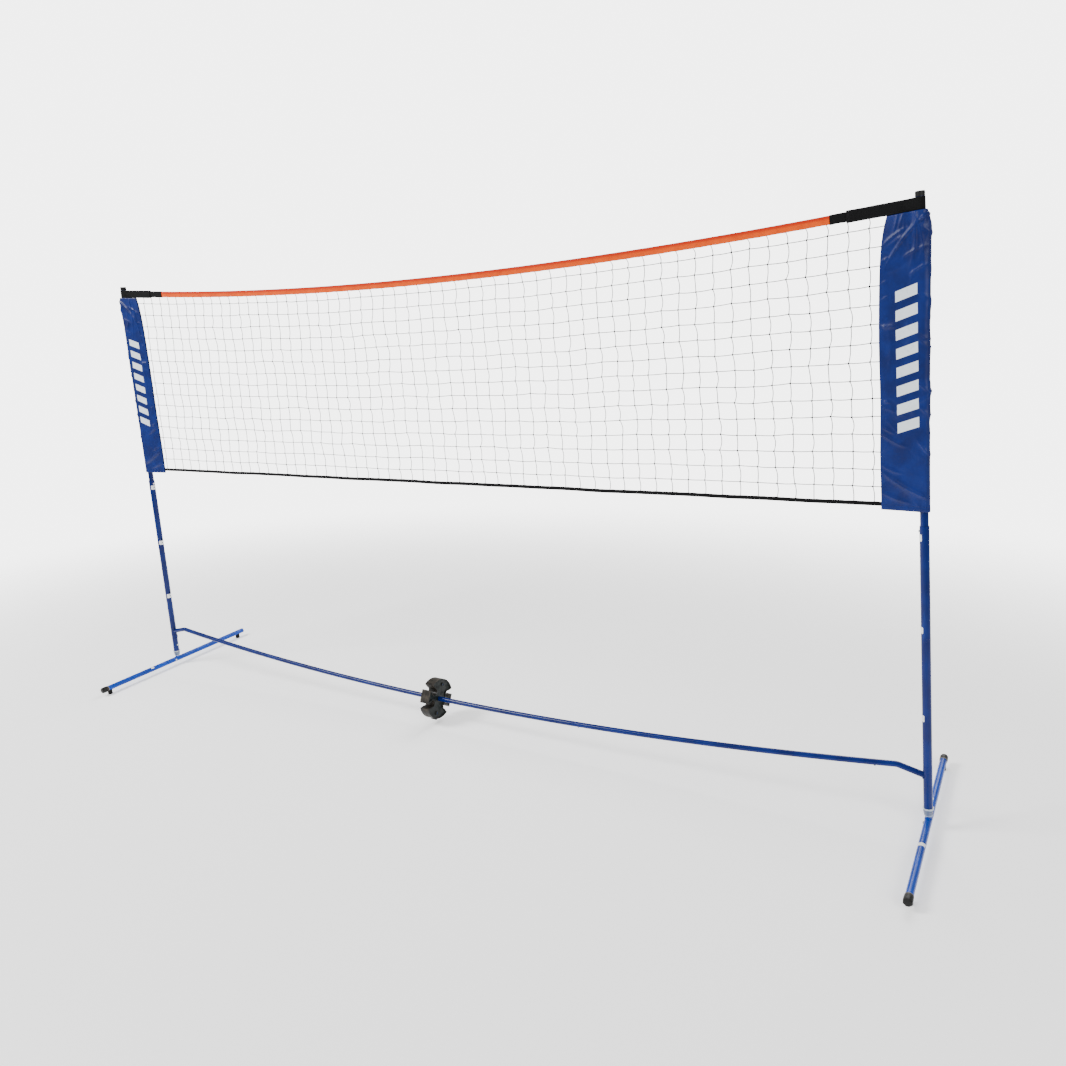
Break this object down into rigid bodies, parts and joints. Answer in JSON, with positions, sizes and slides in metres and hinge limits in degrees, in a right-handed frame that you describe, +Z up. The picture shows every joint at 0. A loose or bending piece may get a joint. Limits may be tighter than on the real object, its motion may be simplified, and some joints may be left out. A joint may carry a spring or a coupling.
{
  "type": "portable badminton net",
  "caption": "Free-standing badminton net on two telescopic poles with foot bars, a plug-together ground bar and a clip for the packed tubes.",
  "frame": {"origin": "on the ground, midway between the two poles and midway along the foot bars", "axes": "+X along the net from the left pole to the right pole, +Y along the foot bars to the far side, +Z up"},
  "size_m": [2.9712, 0.71, 1.5524],
  "materials": {
    "tube_blue": "gloss powder coat",
    "nylon_clear": "translucent nylon",
    "rubber_black": "matt",
    "cap_black": "satin",
    "white_nylon": "satin",
    "label_white": "vinyl",
    "spring_steel": "bright",
    "clip_black": "moulded",
    "screw_steel": "zinc",
    "tape_orange": "woven",
    "webbing_black": "woven",
    "twine_black": "braided",
    "cord_white": "braided",
    "sleeve_blue": "shiny polyester"
  },
  "bodies": {
    "ground_frame": {"left_foot_bar": "tube_blue", "right_foot_bar": "tube_blue", "left_collar": "nylon_clear", "right_collar": "nylon_clear", "foot_end_caps": "cap_black", "left_far_plug": "cap_black", "rubber_feet": "rubber_black", "foot_rivets": "white_nylon", "foot_labels": "label_white", "left_lower_pole": "tube_blue", "right_lower_pole": "tube_blue", "height_labels": "label_white", "left_arm": "tube_blue", "right_arm": "tube_blue", "bar_left": "tube_blue", "bar_middle": "tube_blue", "bar_right": "tube_blue", "bar_splices": "spring_steel", "left_foot_spring": "spring_steel", "right_foot_spring": "spring_steel", "bar_spring_left": "spring_steel", "bar_spring_middle": "spring_steel", "bar_spring_right": "spring_steel"},
    "left_upper": {"left_upper_pole": "tube_blue", "left_top_cap": "cap_black", "left_sleeve": "sleeve_blue", "left_strap": "webbing_black", "left_height_spring": "spring_steel"},
    "right_upper": {"right_upper_pole": "tube_blue", "right_top_cap": "cap_black", "right_sleeve": "sleeve_blue", "right_strap": "webbing_black", "right_height_spring": "spring_steel"},
    "net": {"net_mesh": "twine_black", "net_side_tapes": "webbing_black", "top_tape": "tape_orange", "tape_ends": "webbing_black", "headline_cord": "cord_white", "bottom_tape": "webbing_black"},
    "left_lock": {"left_height_button": "white_nylon"},
    "right_lock": {"right_height_button": "white_nylon"},
    "left_foot_lock": {"left_foot_button": "white_nylon"},
    "right_foot_lock": {"right_foot_button": "white_nylon"},
    "bar_lock_left": {"bar_button_left": "white_nylon"},
    "bar_lock_middle": {"bar_button_middle": "white_nylon"},
    "bar_lock_right": {"bar_button_right": "white_nylon"},
    "tube_clip": {"clip_left_half": "clip_black", "clip_right_half": "clip_black", "clip_screws": "screw_steel"}
  },
  "joints": [
    {"name": "left_height", "type": "slide", "parent": "ground_frame", "child": "left_upper", "axis": [0.0506, 0, 0.9987], "range_m": [-0.46459, 0], "deforming": ["left_height_button", "left_height_spring"]},
    {"name": "right_height", "type": "slide", "parent": "ground_frame", "child": "right_upper", "axis": [-0.0506, 0, 0.9987], "range_m": [-0.46459, 0], "deforming": ["right_height_button", "right_height_spring"]},
    {"name": "net_height", "type": "slide", "parent": "ground_frame", "child": "net", "axis": [0, 0, 1], "range_m": [-0.46459, 0]},
    {"name": "left_height_press", "type": "slide", "parent": "left_upper", "child": "left_lock", "axis": [-0.9987, 0, 0.0506], "range_m": [0, 0.0038], "stiffness_N_per_m": 900, "springref_m": -0.003},
    {"name": "right_height_press", "type": "slide", "parent": "right_upper", "child": "right_lock", "axis": [0.9987, 0, 0.0506], "range_m": [0, 0.0038], "stiffness_N_per_m": 900, "springref_m": -0.003},
    {"name": "left_foot_press", "type": "slide", "parent": "ground_frame", "child": "left_foot_lock", "axis": [-0.9987, 0, 0.0506], "range_m": [0, 0.0034], "stiffness_N_per_m": 900, "springref_m": -0.003, "deforming": ["left_foot_spring"]},
    {"name": "right_foot_press", "type": "slide", "parent": "ground_frame", "child": "right_foot_lock", "axis": [-0.9987, 0, -0.0506], "range_m": [0, 0.0034], "stiffness_N_per_m": 900, "springref_m": -0.003, "deforming": ["right_foot_spring"]},
    {"name": "bar_press_left", "type": "slide", "parent": "ground_frame", "child": "bar_lock_left", "axis": [0.0843, 0, 0.9964], "range_m": [0, 0.0036], "stiffness_N_per_m": 900, "springref_m": -0.003, "deforming": ["bar_spring_left"]},
    {"name": "bar_press_middle", "type": "slide", "parent": "ground_frame", "child": "bar_lock_middle", "axis": [-0.0386, 0, 0.9993], "range_m": [0, 0.0036], "stiffness_N_per_m": 900, "springref_m": -0.003, "deforming": ["bar_spring_middle"]},
    {"name": "bar_press_right", "type": "slide", "parent": "ground_frame", "child": "bar_lock_right", "axis": [-0.1112, 0, 0.9938], "range_m": [0, 0.0036], "stiffness_N_per_m": 900, "springref_m": -0.003, "deforming": ["bar_spring_right"]},
    {"name": "clip_turn", "type": "hinge", "parent": "ground_frame", "child": "tube_clip", "pos_m": [-0.09, 0, 0.08694], "axis": [1, 0, -0.0075], "continuous": true}
  ],
  "couplings": [
    {"joint": "right_height", "follows": "left_height", "ratio": 1},
    {"joint": "net_height", "follows": "left_height", "ratio": 0.99872}
  ]
}
